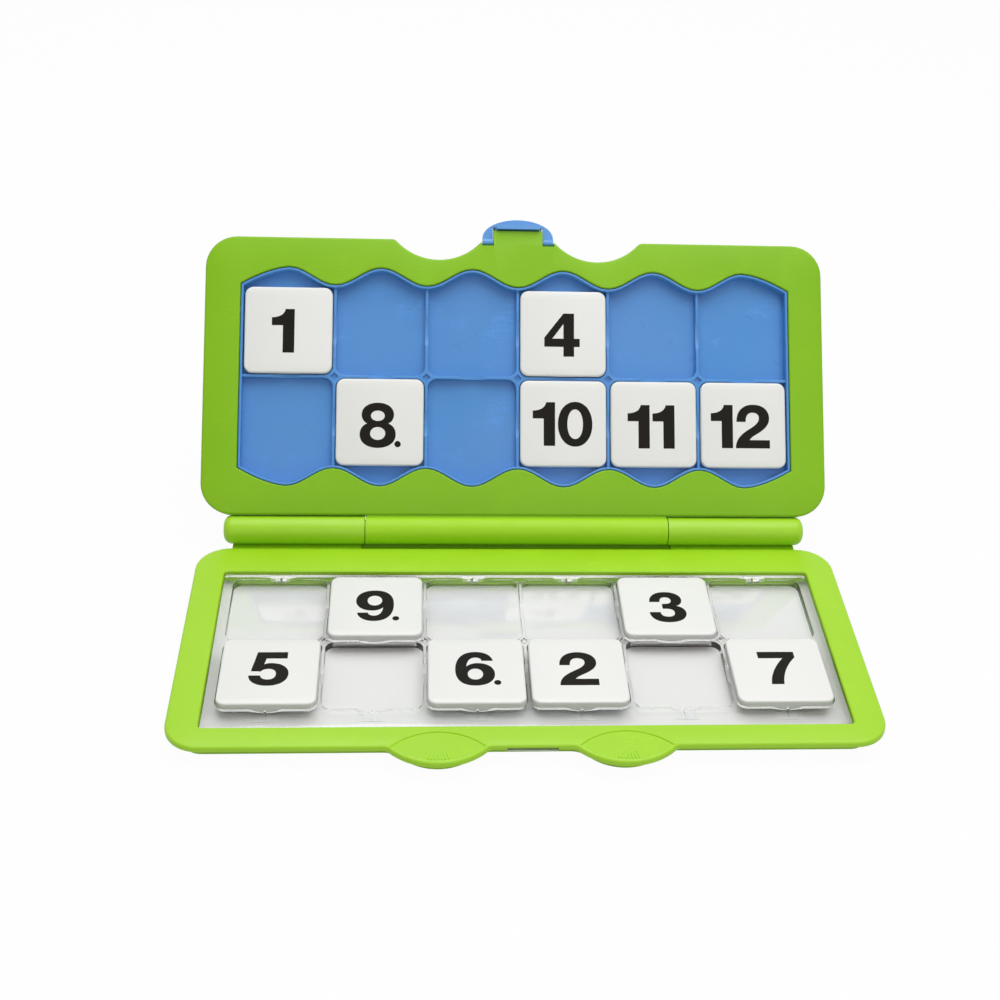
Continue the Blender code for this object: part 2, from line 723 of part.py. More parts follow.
def add_latch_lug(frame, wall_end):
    """A block behind the lid's free edge, with a nose between the latch's legs and a hole for each stud.

    The nose is round about the latch's pivot, and a lip below it runs on behind the latch's bar.
    """
    lug_x = LATCH_WIDTH / 2 + LUG_MARGIN
    lug_near = LID_FAR - LUG_DEPTH
    lug_far = LID_FAR - LID_WALL / 2
    lug_top = LID_FACE_UP - LID_FACE / 2
    block = box("lug", -lug_x, lug_x, lug_near, lug_far, wall_end + SEAT_GAP, lug_top)
    combine(frame, block, "UNION")

    nose_x = LATCH_LEG_INNER - SEAT_GAP
    nose_root = LID_FAR - LID_WALL
    nose_reach = LATCH_REACH - SEAT_GAP
    nose_top = math.asin(LATCH_LEG_ROUND / nose_reach)
    lip_drop = LATCH_PLATE - LATCH_PLATE_TOP + SEAT_GAP
    lip_start = math.asin(-lip_drop / nose_reach)
    lip_top = PIVOT_Z - lip_drop
    lip_end = PIVOT_Y + LATCH_REACH + LATCH_BAR
    profile = arc(PIVOT_Y, PIVOT_Z, nose_reach, nose_top, lip_start, NOSE_STEPS) + [
        (lip_end, lip_top),
        (lip_end, lip_top - LUG_LIP),
        (nose_root, lip_top - LUG_LIP),
        (nose_root, PIVOT_Z + LATCH_LEG_ROUND),
    ]
    combine(frame, side_plate("nose", profile, -nose_x, nose_x), "UNION")

    corner_swing = math.hypot(LATCH_LEG_ROUND, LATCH_PLATE - LATCH_PLATE_TOP)
    notch_x = LATCH_WIDTH / 2 + SEAT_GAP
    notch_near = PIVOT_Y - LATCH_LEG_ROUND - SEAT_GAP
    notch_far = LID_FAR + LATCH_LEG_ROUND
    notch_low = PIVOT_Z - corner_swing - SEAT_GAP
    notch_high = LID_FACE_UP + SEAT_GAP
    notches = []
    for low, high in ((-notch_x, -nose_x), (nose_x, notch_x)):
        notches.append(box("notch", low, high, notch_near, notch_far, notch_low, notch_high))
    combine(frame, merged("notches", notches), "DIFFERENCE")

    hole_radius = STUD_RADIUS + SEAT_GAP
    hole_start = LATCH_LEG_INNER - STUD_LENGTH - SEAT_GAP
    hole_end = LATCH_LEG_INNER + SEAT_GAP
    holes = []
    for side in (-1, 1):
        ends = [(side * hole_start, hole_radius), (side * hole_end, hole_radius)]
        holes.append(turned("hole", ends, PIVOT_Y, PIVOT_Z, STUD_SIDES))
    combine(frame, merged("holes", holes), "DIFFERENCE")


def make_lid_back(material, pivot):
    outline = case_outline(LID_NEAR, LID_FAR, False)
    levels = [(0.0, LID_BACK_TOP)] + round_levels(LID_BACK_TOP - LID_BACK, EDGE_ROUND, False)
    return finish(stacked("lid_back", (outline, levels)), material, pivot)


def make_lid_tray(material, pivot):
    outline = shifted(wave_outline(), SEAT_GAP)
    rim_top = LID_FACE_UP - TRAY_RIM_DROP
    flange_top = LID_FACE_UP - LID_FACE - SEAT_GAP
    flange_bottom = flange_top - TRAY_FLANGE_THICK
    outer_levels = round_levels(rim_top, RIM_ROUND) + [
        (0.0, flange_top),
        (-TRAY_FLANGE, flange_top),
        (-TRAY_FLANGE, flange_bottom),
        (0.0, flange_bottom),
        (0.0, LID_FLOOR_BOTTOM),
    ]
    inside_levels = round_levels(rim_top, RIM_ROUND) + [(0.0, LID_FLOOR_TOP)]
    inside = (shifted(outline, TRAY_RIM), inside_levels)
    tray = stacked("lid_tray", (outline, outer_levels), pits=[inside])

    rib_top = LID_FLOOR_TOP + LID_RIB_HEIGHT
    sunk = LID_FLOOR_TOP - LID_FLOOR / 2
    into_wall = SEAT_GAP + TRAY_RIM / 2
    end_y = PITCH + WAVE_LOW - into_wall
    end_x = GRID_X + WAVE_SIDE - into_wall
    pits = [(pit_outline(x, LID_ROW), [(0.0, rib_top), (0.0, rib_top - PIT_DEPTH)]) for x in inner_rib_x()]
    ribs_outline = fishbone_outline(LID_ROW, end_y, end_x)
    levels = round_levels(rib_top, RIB_ROUND) + [(0.0, sunk)]
    ribs = stacked("ribs", (ribs_outline, levels), pits=pits)
    combine(tray, ribs, "UNION")
    combine(tray, merged("dips", rib_dips(LID_ROW, rib_top)), "DIFFERENCE")
    return finish(tray, material, pivot)


# Latch, in a frame at its pivot with the lid frame's axes

def make_latch(material, pivot):
    half = LATCH_WIDTH / 2
    leg = LATCH_LEG_INNER
    tongue = leg - LATCH_SLOT
    rise = LATCH_LENGTH - LATCH_SHOULDER
    slot_end = LATCH_REACH + LATCH_SLOT_DEPTH
    circle = arc(0.0, 0.0, 1.0, 0.0, math.pi, LATCH_STEPS)
    top = [(half * x, LATCH_SHOULDER + rise * y) for x, y in circle]
    outline = [
        (-half, -LATCH_LEG_ROUND),
        (-leg, -LATCH_LEG_ROUND),
        (-leg, slot_end),
        (-tongue, slot_end),
        (-tongue, LATCH_REACH),
        (tongue, LATCH_REACH),
        (tongue, slot_end),
        (leg, slot_end),
        (leg, -LATCH_LEG_ROUND),
        (half, -LATCH_LEG_ROUND),
    ] + top
    latch = prism("latch", outline, LATCH_PLATE_TOP - LATCH_PLATE, LATCH_PLATE_TOP)
    foot = LATCH_PLATE_TOP - LATCH_PLATE / 2
    bar_x = tongue - LATCH_SLOT / 2
    bar_end = LATCH_REACH + LATCH_BAR
    bar = box("bar", -bar_x, bar_x, LATCH_REACH + JOIN_STEP, bar_end, foot, LATCH_BAR_RISE)
    combine(latch, bar, "UNION")

    leg_radius = LATCH_LEG_ROUND - JOIN_STEP
    profile = arc(0.0, 0.0, leg_radius, 0.0, math.pi, LATCH_LEG_STEPS)
    profile += [(-leg_radius, foot), (leg_radius, foot)]
    leg_near = leg + JOIN_STEP
    leg_far = half - JOIN_STEP
    for side in (-1, 1):
        low, high = sorted((side * leg_near, side * leg_far))
        combine(latch, side_plate("leg", profile, low, high), "UNION")
        ends = [(side * (leg - STUD_LENGTH), STUD_RADIUS), (side * (leg + LATCH_LEG / 2), STUD_RADIUS)]
        combine(latch, turned("stud", ends, 0.0, 0.0, STUD_SIDES), "UNION")
    return finish(latch, material, pivot)


# Tiles, each with its origin in the middle of its underside

def make_tile(number, place, material, row_y, away, seat, parent):
    half = PITCH / 2 - RIB_WIDTH / 2 - TILE_PLAY
    corner = POCKET_CORNER - TILE_PLAY
    outline = rounded_box(-half, half, -half, half, corner)
    levels = round_levels(TILE_THICK, TILE_ROUND) + [(0.0, TILE_FOOT_ROUND), (TILE_FOOT_ROUND, 0.0)]
    tile = stacked(f"tile_{number:02d}", (outline, levels))
    column, row = place
    tile.location = (column_x(column), row_y + away * (row - 0.5) * PITCH, seat + SEAT_GAP)
    return finish(tile, material, parent)


def make_pivot(name, location, parent=None):
    pivot = bpy.data.objects.new(name, None)
    pivot.location = location
    pivot.parent = parent
    bpy.context.scene.collection.objects.link(pivot)
    return pivot


def centre_over_origin():
    """Moves the whole part along Y until the middle of its bounding box is over the origin."""
    bpy.context.view_layer.update()
    meshes = [item for item in bpy.data.objects if item.type == "MESH"]
    reach = [(item.matrix_world @ vert.co).y for item in meshes for vert in item.data.vertices]
    middle = (min(reach) + max(reach)) / 2
    for item in bpy.data.objects:
        if item.parent is None:
            item.location.y -= middle


def main():
    clear_scene()
    base_green = make_material("base_green", BASE_GREEN, 0.38)
    lid_green = make_material("lid_green", LID_GREEN, 0.42)
    back_green = make_material("back_green", LID_GREEN, 0.45)
    tray_blue = make_material("tray_blue", BLUE, 0.32)
    latch_blue = make_material("latch_blue", BLUE, 0.36)
    clear_plastic = make_material("clear_plastic", CLEAR, 0.08, alpha=0.35)
    tile_white = make_material("tile_white", WHITE, 0.4)
    pin_steel = make_material("pin_steel", STEEL, 0.3, metallic=1.0)

    make_base_frame(base_green)
    make_base_tray(clear_plastic)
    make_hinge_pins(pin_steel)

    lid_pivot = make_pivot("lid_pivot", (0.0, HINGE_Y, HINGE_Z))
    lid_pivot.rotation_euler.x = OPEN_ANGLE
    make_lid_frame(lid_green, lid_pivot)
    make_lid_back(back_green, lid_pivot)
    make_lid_tray(tray_blue, lid_pivot)
    latch_pivot = make_pivot("latch_pivot", (0.0, PIVOT_Y, PIVOT_Z), lid_pivot)
    make_latch(latch_blue, latch_pivot)

    for number, place in BASE_TILES.items():
        make_tile(number, place, tile_white, 0.0, -1, BASE_FLOOR_TOP, None)
    for number, place in LID_TILES.items():
        make_tile(number, place, tile_white, LID_ROW, 1, LID_FLOOR_TOP, lid_pivot)
    centre_over_origin()


main()
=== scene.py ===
import json
import math

import bmesh
import bpy
from mathutils import Matrix, Vector


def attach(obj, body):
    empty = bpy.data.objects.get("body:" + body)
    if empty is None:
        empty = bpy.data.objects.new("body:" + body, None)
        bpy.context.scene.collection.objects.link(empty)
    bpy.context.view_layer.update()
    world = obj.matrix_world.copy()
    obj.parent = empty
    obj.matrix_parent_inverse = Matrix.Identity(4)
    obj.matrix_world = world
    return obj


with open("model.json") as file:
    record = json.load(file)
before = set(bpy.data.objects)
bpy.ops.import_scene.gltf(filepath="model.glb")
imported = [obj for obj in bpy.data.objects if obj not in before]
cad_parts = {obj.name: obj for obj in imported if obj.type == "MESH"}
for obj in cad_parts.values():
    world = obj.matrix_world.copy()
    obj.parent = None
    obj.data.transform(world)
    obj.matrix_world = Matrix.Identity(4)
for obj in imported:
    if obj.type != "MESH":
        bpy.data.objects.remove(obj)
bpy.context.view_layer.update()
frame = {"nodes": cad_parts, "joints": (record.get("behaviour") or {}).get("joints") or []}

MM = 0.001

# Camera, at the photograph's angle
CAMERA_PLACE = (-0.0425, -0.5145, 0.4064)
CAMERA_AZIMUTH = math.radians(-5.535)
CAMERA_ELEVATION = math.radians(31.94)
CAMERA_ROLL = math.radians(3.47)
CAMERA_LENS = 57.61
SENSOR_WIDTH = 36.0
CAMERA_SHIFT = (-0.0471, -0.0833)

# Studio light
FLOOR_HALF = 3.0
FLOOR_WHITE = (0.82, 0.82, 0.815)
FLOOR_ROUGHNESS = 0.9
FLOOR_SHINE = 0.1
FLOOR_GLOW = 0.965
BACKDROP_WHITE = (1.0, 1.0, 1.0)
ROOM_COLOUR = (0.95, 0.98, 1.0)
ROOM_LIGHT = 0.24
TOP_LAMP_WATTS = 12.0
TOP_LAMP_PLACE = (0.08, 0.10, 1.15)
TOP_LAMP_SIZE = (1.3, 1.0)
FRONT_LAMP_WATTS = 3.2
FRONT_LAMP_PLACE = (0.22, -1.20, 0.85)
FRONT_LAMP_SIZE = (1.2, 0.9)
OBJECT_MIDDLE = (0.0, 0.0, 0.04)

# Plastics and inks, as linear red, green and blue. A pair is a moulding's darker and lighter tone.
BASE_GREEN = ((0.365, 0.690, 0.010), (0.395, 0.725, 0.018))
# The lid's green is a darker copy of the base's green: painted shade for the lid, whose face leans away
# from the top lamp. The barrel green is the base's green.
LID_SHADED_GREEN = ((0.236, 0.518, 0.005), (0.262, 0.552, 0.008))
BARREL_GREEN = (0.385, 0.730, 0.012)
BARREL_TOP = 19.2 * MM
BARREL_BLEND = 1.0 * MM
TRAY_BLUE = ((0.072, 0.285, 0.665), (0.100, 0.295, 0.675))
LATCH_BLUE = ((0.100, 0.320, 0.720), (0.125, 0.345, 0.740))
TILE_WHITE = ((0.870, 0.862, 0.825), (0.890, 0.882, 0.850))
CLEAR_TINT = (0.92, 0.92, 0.915)
CLEAR_SHADE = (0.943, 0.945, 0.942)
CLEAR_INDEX = 1.49
BLACK_INK = (0.009, 0.007, 0.005)
DUST_GREY = (0.8, 0.8, 0.76)
STEEL_TONES = ((0.45, 0.45, 0.46), (0.62, 0.62, 0.63))

# Finishes: sizes of a texture are in features per metre, and gloss is a range of roughness
NOISE_SPAN = (0.3, 0.7)
GRAIN_PER_METRE = 1800.0
CLEAR_GRAIN_PER_METRE = 320.0
INK_GRAIN_PER_METRE = 2600.0
GLOSS_PER_METRE = 140.0
DRIFT_PER_METRE = 16.0
GRAIN_STRENGTH = 0.35
SCRATCH_RUNS = ((0.35, 0.0), (1.25, 0.37), (2.3, 0.71))
SCRATCH_TILT = (0.6, 0.3)
SCRATCH_STRETCH = (90.0, 900.0, 90.0)
SCRATCH_WIDTH = 0.035
SCRATCH_PATCHES_PER_METRE = 55.0
SCRATCH_PATCH_SPAN = (0.56, 0.68)
SCRATCH_AMOUNT = 0.3
DUST_PER_METRE = 260.0
DUST_SPECK_SPAN = (0.02, 0.07)
DUST_PATCHES_PER_METRE = 310.0
DUST_PATCH_SPAN = (0.66, 0.70)
DUST_AMOUNT = 0.3
# Rubbed edges: smoother, and paler in colour; the paling is partly wear and partly a painted highlight
# along rims and ribs.
EDGE_WIDTH = 0.6 * MM
EDGE_SAMPLES = 6
EDGE_TURN_SPAN = (0.90, 0.995)
EDGE_PATCHES_PER_METRE = 60.0
EDGE_PATCH_SPAN = (0.35, 0.6)
EDGE_LEAST = 0.35
EDGE_AMOUNT = 0.3
WEAR_AND_HIGHLIGHT_LIGHTER = 1.3
SCRATCH_ROUGHER = 0.25
EDGE_SMOOTHER = 0.2
CLEAR_GLOSS = (0.015, 0.06)
CLEAR_SHINE = 0.1
CLEAR_SCRATCHES = 0.5
CLEAR_SCRATCH_ROUGHER = 0.2
CLEAR_WAVE_STRENGTH = 0.06
CLEAR_WAVE_DEPTH = 0.05 * MM
INK_SHINE = 0.1
INK_DARKER, INK_LIGHTER = 0.86, 1.14
INK_GRAIN_STRENGTH = 0.2
INK_GRAIN_DEPTH = 0.01 * MM
NUMBER_INK_GLOSS = (0.34, 0.48)
BAND_INK_GLOSS = (0.38, 0.52)
STEEL_LINES = (60.0, 4000.0, 4000.0)
STEEL_GLOSS = (0.22, 0.40)

# Moulded meshes
WELD = 0.002 * MM
SHARP_EDGE = math.radians(34.0)

# Printed numbers
TILE_COUNT = 12
NUMBER_HEIGHT = 18.35 * MM
INK_THICK = 0.03 * MM
INK_SINK = 0.01 * MM
NUMERAL_STEPS = 10
NUMERAL_DIP = 0.015
CIRCLE_FULLNESS = 0.552
DIGIT_GAP = 0.065
DOT_RADIUS = 0.072
DOT_GAP = 0.045
DOT_RISE = 0.09
DOTTED = (6, 8, 9)

# How far each number is printed off the middle of its tile, in millimetres to the right and up
PRINT_SHIFT = {
    1: (-2.2, -0.4), 2: (0.0, 0.3), 3: (0.15, -1.3), 4: (-0.5, -0.65),
    5: (-0.1, 1.0), 6: (0.6, 0.6), 7: (0.1, 0.4), 8: (0.25, -1.35),
    9: (0.7, -0.4), 10: (-0.3, -0.2), 11: (-1.15, -1.0), 12: (-1.35, -0.6),
}

# Coloured bands printed under the tiles: field and stripe for each
BAND_COLOURS = {
    "red": (0.52, 0.05, 0.06),
    "orange": (0.72, 0.24, 0.04),
    "yellow": (0.72, 0.56, 0.06),
    "teal": (0.05, 0.30, 0.26),
    "blue": (0.07, 0.17, 0.42),
    "violet": (0.26, 0.12, 0.38),
}
BANDS = {
    1: ("teal", "yellow"), 2: ("blue", "yellow"), 3: ("red", "teal"), 4: ("yellow", "violet"),
    5: ("red", "yellow"), 6: ("teal", "orange"), 7: ("yellow", "red"), 8: ("violet", "orange"),
    9: ("red", "blue"), 10: ("orange", "blue"), 11: ("blue", "red"), 12: ("violet", "teal"),
}
BAND_HALF = 17.2 * MM
BAND_CORNER = 3.0 * MM
BAND_CORNER_STEPS = 5
BAND_STRIPE = (-3.0 * MM, 3.0 * MM)
BAND_THICK = 0.03 * MM


# Node helpers

def put(tree, kind, settings=(), **sockets):
    """Adds a shader node. A socket takes a plain value or another node's output."""
    node = tree.nodes.new("ShaderNode" + kind)
    for name, value in dict(settings).items():
        setattr(node, name, value)
    for name, value in sockets.items():
        feed(tree, node.inputs[name.replace("_", " ")], value)
    return node


def feed(tree, socket, value):
    if isinstance(value, bpy.types.NodeSocket):
        tree.links.new(value, socket)
    else:
        socket.default_value = value


def maths(tree, operation, first, second, clamp=False):
    node = tree.nodes.new("ShaderNodeMath")
    node.operation = operation
    node.use_clamp = clamp
    feed(tree, node.inputs[0], first)
    feed(tree, node.inputs[1], second)
    return node.outputs[0]


def mix_colours(tree, share, first, second):
    node = tree.nodes.new("ShaderNodeMix")
    node.data_type = "RGBA"
    feed(tree, node.inputs[0], share)
    feed(tree, node.inputs[6], first)
    feed(tree, node.inputs[7], second)
    return node.outputs[2]


def spread(tree, value, low, high, to_low, to_high):
    """Maps a value from one range to another, without going past its ends."""
    node = put(tree, "MapRange", {"clamp": True}, Value=value)
    ends = (("From Min", low), ("From Max", high), ("To Min", to_low), ("To Max", to_high))
    for name, number in ends:
        feed(tree, node.inputs[name], number)
    return node.outputs[0]


def new_group(name, inputs, outputs):
    group = bpy.data.node_groups.new(name, "ShaderNodeTree")
    for label, value in inputs:
        socket = group.interface.new_socket(label, in_out="INPUT", socket_type="NodeSocketFloat")
        socket.default_value = value
    for label in outputs:
        group.interface.new_socket(label, in_out="OUTPUT", socket_type="NodeSocketFloat")
    return group, group.nodes.new("NodeGroupInput"), group.nodes.new("NodeGroupOutput")


def place_group(tree, group, **values):
    node = tree.nodes.new("ShaderNodeGroup")
    node.node_tree = group
    for name, value in values.items():
        feed(tree, node.inputs[name.replace("_", " ")], value)
    return node


def rgba(colour, factor=1.0):
    return (*[min(1.0, part * factor) for part in colour], 1.0)


# Shared effects

def make_moulded_skin():
    """A moulding's fine spark-eroded skin, its uneven gloss and the slow drift of its colour."""
    values = [("Grain per Metre", GRAIN_PER_METRE), ("Drift per Metre", DRIFT_PER_METRE)]
    group, given, out = new_group("moulded_skin", values, ["Height", "Gloss", "Drift"])
    place = put(group, "TexCoord").outputs["Object"]
    fine, slow = given.outputs["Grain per Metre"], given.outputs["Drift per Metre"]
    grain = put(group, "TexNoise", Vector=place, Scale=fine, Detail=2.0, Roughness=0.6)
    patch = put(group, "TexNoise", Vector=place, Scale=GLOSS_PER_METRE, Detail=3.0, Roughness=0.55)
    drift = put(group, "TexNoise", Vector=place, Scale=slow, Detail=2.0, Roughness=0.5)
    group.links.new(grain.outputs[0], out.inputs["Height"])
    group.links.new(patch.outputs[0], out.inputs["Gloss"])
    group.links.new(spread(group, drift.outputs[0], *NOISE_SPAN, 0.0, 1.0), out.inputs["Drift"])
    return group


def make_hairlines():
    """Short fine scratches from handling, in patches."""
    group, given, out = new_group("hairlines", [("Amount", SCRATCH_AMOUNT)], ["Mask"])
    place = put(group, "TexCoord").outputs["Object"]
    lines = None
    for turn, offset in SCRATCH_RUNS:
        mapping = put(group, "Mapping", Vector=place)
        mapping.inputs["Rotation"].default_value = (*SCRATCH_TILT, turn)
        mapping.inputs["Location"].default_value = (offset, -offset, 2 * offset)
        mapping.inputs["Scale"].default_value = SCRATCH_STRETCH
        stretched = mapping.outputs[0]
        borders = {"feature": "DISTANCE_TO_EDGE"}
        cells = put(group, "TexVoronoi", borders, Vector=stretched, Scale=1.0)
        thin = spread(group, cells.outputs["Distance"], 0.0, SCRATCH_WIDTH, 1.0, 0.0)
        lines = thin if lines is None else maths(group, "MAXIMUM", lines, thin)
    often = SCRATCH_PATCHES_PER_METRE
    patch = put(group, "TexNoise", Vector=place, Scale=often, Detail=2.0, Roughness=0.5)
    where = spread(group, patch.outputs[0], *SCRATCH_PATCH_SPAN, 0.0, 1.0)
    mask = maths(group, "MULTIPLY", lines, where)
    group.links.new(maths(group, "MULTIPLY", mask, given.outputs["Amount"]), out.inputs["Mask"])
    return group


def make_dust():
    """A few pale specks."""
    group, given, out = new_group("dust", [("Amount", DUST_AMOUNT)], ["Mask"])
    place = put(group, "TexCoord").outputs["Object"]
    specks = put(group, "TexVoronoi", Vector=place, Scale=DUST_PER_METRE)
    near = spread(group, specks.outputs["Distance"], *DUST_SPECK_SPAN, 1.0, 0.0)
    few = put(group, "TexNoise", Vector=place, Scale=DUST_PATCHES_PER_METRE, Detail=0.0)
    where = spread(group, few.outputs[0], *DUST_PATCH_SPAN, 0.0, 1.0)
    mask = maths(group, "MULTIPLY", near, where)
    group.links.new(maths(group, "MULTIPLY", mask, given.outputs["Amount"]), out.inputs["Mask"])
    return group


def make_polished_edges():
    """Edges and corners that handling has rubbed a little smoother and paler. The paler rim is partly wear
    and partly a painted highlight where rims and ribs catch the light.
    """
    values = [("Width", EDGE_WIDTH), ("Amount", EDGE_AMOUNT)]
    group, given, out = new_group("polished_and_highlit_edges", values, ["Mask"])
    soft = put(group, "Bevel", {"samples": EDGE_SAMPLES}, Radius=given.outputs["Width"])
    true = put(group, "NewGeometry")
    facing = put(group, "VectorMath", {"operation": "DOT_PRODUCT"})
    group.links.new(soft.outputs[0], facing.inputs[0])
    group.links.new(true.outputs["Normal"], facing.inputs[1])
    edge = spread(group, facing.outputs["Value"], *EDGE_TURN_SPAN, 1.0, 0.0)
    place = put(group, "TexCoord").outputs["Object"]
    often = EDGE_PATCHES_PER_METRE
    rubbed_and_highlit = put(group, "TexNoise", Vector=place, Scale=often, Detail=3.0, Roughness=0.6)
    where = spread(group, rubbed_and_highlit.outputs[0], *EDGE_PATCH_SPAN, EDGE_LEAST, 1.0)
    mask = maths(group, "MULTIPLY", edge, where)
    group.links.new(maths(group, "MULTIPLY", mask, given.outputs["Amount"]), out.inputs["Mask"])
    return group


# Materials

def new_material(name):
    material = bpy.data.materials.new(name)
    material.use_nodes = True
    return material, material.node_tree, material.node_tree.nodes["Principled BSDF"]


def moulded_plastic(name, tones, gloss, grain_depth, shine=0.5, scratches=SCRATCH_AMOUNT):
    """An opaque moulding: two drifting tones, satin grain, pale edges that are partly wear and partly
    painted highlight, hairlines and dust.
    """
    material, tree, shader = new_material(name)
    shader.inputs["Specular IOR Level"].default_value = shine
    skin = place_group(tree, moulded_skin)
    lines = place_group(tree, hairlines, Amount=scratches)
    specks = place_group(tree, dust_specks, Amount=DUST_AMOUNT)
    rubbed_and_highlit = place_group(tree, polished_and_highlit_edges, Amount=EDGE_AMOUNT)
    dark, light = tones
    colour = mix_colours(tree, skin.outputs["Drift"], rgba(dark), rgba(light))
    # Scratches and edges go paler; on the edges this is partly a painted highlight.
    worn_and_highlit = maths(tree, "MAXIMUM", lines.outputs["Mask"], rubbed_and_highlit.outputs["Mask"])
    pale = mix_colours(tree, worn_and_highlit, colour, rgba(light, WEAR_AND_HIGHLIGHT_LIGHTER))
    dusty = mix_colours(tree, specks.outputs["Mask"], pale, rgba(DUST_GREY))
    tree.links.new(dusty, shader.inputs["Base Color"])
    low, high = gloss
    rough = spread(tree, skin.outputs["Gloss"], *NOISE_SPAN, low, high)
    scuffed = maths(tree, "MULTIPLY", lines.outputs["Mask"], SCRATCH_ROUGHER)
    smoothed = maths(tree, "MULTIPLY", rubbed_and_highlit.outputs["Mask"], -EDGE_SMOOTHER)
    uneven = maths(tree, "ADD", scuffed, smoothed)
    tree.links.new(maths(tree, "ADD", rough, uneven, clamp=True), shader.inputs["Roughness"])
    height = skin.outputs["Height"]
    bump = put(tree, "Bump", Strength=GRAIN_STRENGTH, Distance=grain_depth, Height=height)
    tree.links.new(bump.outputs[0], shader.inputs["Normal"])
    return material, tree, shader, dusty


def make_lid_green():
    """The lid's face in a darker copy of the base's green, painted shade for a face that leans away from
    the top lamp, with the barrel under it in the brighter green of the base.
    """
    material, tree, shader, colour = moulded_plastic(
        "lid_painted_shade_green", LID_SHADED_GREEN, gloss=(0.38, 0.50), grain_depth=0.02 * MM, shine=0.3
    )
    place = put(tree, "TexCoord").outputs["Object"]
    height = put(tree, "SeparateXYZ", Vector=place).outputs["Z"]
    barrel = spread(tree, height, BARREL_TOP, BARREL_TOP + BARREL_BLEND, 1.0, 0.0)
    both = mix_colours(tree, barrel, colour, rgba(BARREL_GREEN))
    tree.links.new(both, shader.inputs["Base Color"])
    return material


def make_clear_plastic():
    """Clear moulded plastic that lets the lamps through to the table."""
    material, tree, shader = new_material("clear_tray_plastic")
    shader.inputs["Base Color"].default_value = rgba(CLEAR_TINT)
    shader.inputs["Specular IOR Level"].default_value = CLEAR_SHINE
    shader.inputs["Transmission Weight"].default_value = 1.0
    shader.inputs["IOR"].default_value = CLEAR_INDEX
    skin = place_group(tree, moulded_skin, Grain_per_Metre=CLEAR_GRAIN_PER_METRE)
    lines = place_group(tree, hairlines, Amount=CLEAR_SCRATCHES)
    rough = spread(tree, skin.outputs["Gloss"], *NOISE_SPAN, *CLEAR_GLOSS)
    scuffed = maths(tree, "MULTIPLY", lines.outputs["Mask"], CLEAR_SCRATCH_ROUGHER)
    tree.links.new(maths(tree, "ADD", rough, scuffed, clamp=True), shader.inputs["Roughness"])
    wave = {"Strength": CLEAR_WAVE_STRENGTH, "Distance": CLEAR_WAVE_DEPTH}
    bump = put(tree, "Bump", **wave, Height=skin.outputs["Height"])
    tree.links.new(bump.outputs[0], shader.inputs["Normal"])
    path = put(tree, "LightPath")
    open_way = put(tree, "BsdfTransparent", Color=rgba(CLEAR_SHADE))
    mixed = put(tree, "MixShader")
    tree.links.new(path.outputs["Is Shadow Ray"], mixed.inputs[0])
    tree.links.new(shader.outputs[0], mixed.inputs[1])
    tree.links.new(open_way.outputs[0], mixed.inputs[2])
    tree.links.new(mixed.outputs[0], tree.nodes["Material Output"].inputs["Surface"])
    return material


def make_ink(name, colour, gloss):
    """Printed ink, a little uneven where it was laid down."""
    material, tree, shader = new_material(name)
    shader.inputs["Specular IOR Level"].default_value = INK_SHINE
    skin = place_group(tree, moulded_skin, Grain_per_Metre=INK_GRAIN_PER_METRE)
    uneven = skin.outputs["Gloss"]
    tone = mix_colours(tree, uneven, rgba(colour, INK_DARKER), rgba(colour, INK_LIGHTER))
    tree.links.new(tone, shader.inputs["Base Color"])
    tree.links.new(spread(tree, uneven, *NOISE_SPAN, *gloss), shader.inputs["Roughness"])
    grain = {"Strength": INK_GRAIN_STRENGTH, "Distance": INK_GRAIN_DEPTH}
    bump = put(tree, "Bump", **grain, Height=skin.outputs["Height"])
    tree.links.new(bump.outputs[0], shader.inputs["Normal"])
    return material


def make_steel():
    """Drawn steel wire, with fine lines along it."""
    material, tree, shader = new_material("pin_steel_drawn")
    place = put(tree, "TexCoord").outputs["Object"]
    mapping = put(tree, "Mapping", Vector=place)
    mapping.inputs["Scale"].default_value = STEEL_LINES
    lines = put(tree, "TexNoise", Vector=mapping.outputs[0], Scale=1.0, Detail=3.0)
    shader.inputs["Metallic"].default_value = 1.0
    dark, light = STEEL_TONES
    tone = mix_colours(tree, lines.outputs[0], rgba(dark), rgba(light))
    tree.links.new(tone, shader.inputs["Base Color"])
    rough = spread(tree, lines.outputs[0], *NOISE_SPAN, *STEEL_GLOSS)
    tree.links.new(rough, shader.inputs["Roughness"])
    return material


def seen_by_eye(tree, path):
    """One for what the eye sees, also mirrored or through plastic, and zero for other light."""
    open_view = maths(tree, "MAXIMUM", path.outputs["Is Camera Ray"], path.outputs["Is Glossy Ray"])
    view = maths(tree, "MAXIMUM", open_view, path.outputs["Is Transmission Ray"])
    unscattered = maths(tree, "LESS_THAN", path.outputs["Diffuse Depth"], 0.5)
    return maths(tree, "MULTIPLY", view, unscattered)


def make_floor_white():
    """A pale table: white with a faint shadow to the eye, and fully shaded through plastic."""
    material, tree, shader = new_material("table_white")
    shader.inputs["Base Color"].default_value = rgba(FLOOR_WHITE)
    shader.inputs["Roughness"].default_value = FLOOR_ROUGHNESS
    shader.inputs["Specular IOR Level"].default_value = FLOOR_SHINE
    glow = put(tree, "Emission", Color=rgba(BACKDROP_WHITE), Strength=1.0)
    mixed = put(tree, "MixShader")
    path = put(tree, "LightPath")
    open_way = maths(tree, "SUBTRACT", FLOOR_GLOW, path.outputs["Is Transmission Ray"], clamp=True)
    tree.links.new(maths(tree, "MULTIPLY", open_way, seen_by_eye(tree, path)), mixed.inputs[0])
    tree.links.new(shader.outputs[0], mixed.inputs[1])
    tree.links.new(glow.outputs[0], mixed.inputs[2])
    tree.links.new(mixed.outputs[0], tree.nodes["Material Output"].inputs["Surface"])
    return material


# Mesh helpers

